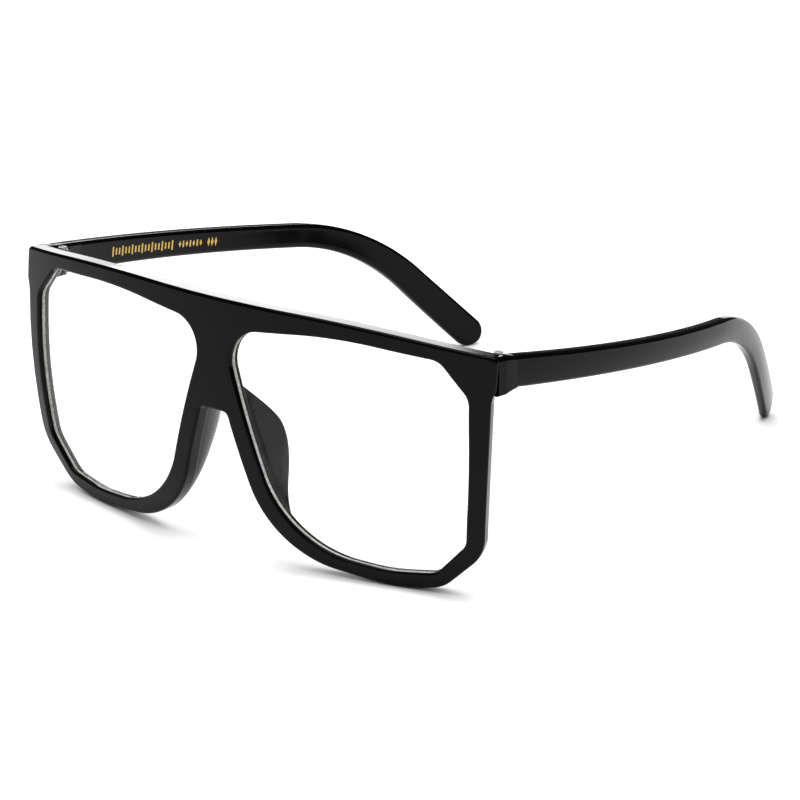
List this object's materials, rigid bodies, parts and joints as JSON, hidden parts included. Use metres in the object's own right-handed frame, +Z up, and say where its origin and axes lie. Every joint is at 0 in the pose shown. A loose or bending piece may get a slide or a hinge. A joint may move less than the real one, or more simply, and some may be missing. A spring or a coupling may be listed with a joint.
{
  "type": "glasses",
  "caption": "Oversized flat-top glasses with a bowed black plastic front, large clear lenses, raised nose pads and folding temples that curve down behind the ears.",
  "frame": {"origin": "middle of the box round the open glasses, on the table: half way between the lenses and half way along the depth", "axes": "+X to the wearer's left, +Y from the lenses back to the temple tips, +Z up"},
  "size_m": [0.1504, 0.1698, 0.0642],
  "materials": {
    "black_plastic": "polished",
    "clear_lens": "clear, polished",
    "hinge_metal": "polished nickel plate",
    "wire_metal": "drawn wire"
  },
  "bodies": {
    "front": {"frame_front": "black_plastic", "lens_left": "clear_lens", "lens_right": "clear_lens", "nose_pad_left": "black_plastic", "nose_pad_right": "black_plastic", "hinge_front_leaf_left": "hinge_metal", "hinge_front_leaf_right": "hinge_metal", "hinge_screw_left": "hinge_metal", "hinge_screw_right": "hinge_metal"},
    "left_temple": {"temple_left": "black_plastic", "core_wire_left": "wire_metal", "hinge_temple_leaf_left": "hinge_metal"},
    "right_temple": {"temple_right": "black_plastic", "core_wire_right": "wire_metal", "hinge_temple_leaf_right": "hinge_metal"}
  },
  "joints": [
    {"name": "left_fold", "type": "hinge", "parent": "front", "child": "left_temple", "pos_m": [0.06693, -0.06263, 0.0553], "axis": [0, 0, 1], "range_deg": [0, 84]},
    {"name": "right_fold", "type": "hinge", "parent": "front", "child": "right_temple", "pos_m": [-0.06693, -0.06263, 0.0553], "axis": [0, 0, -1], "range_deg": [0, 78]}
  ]
}
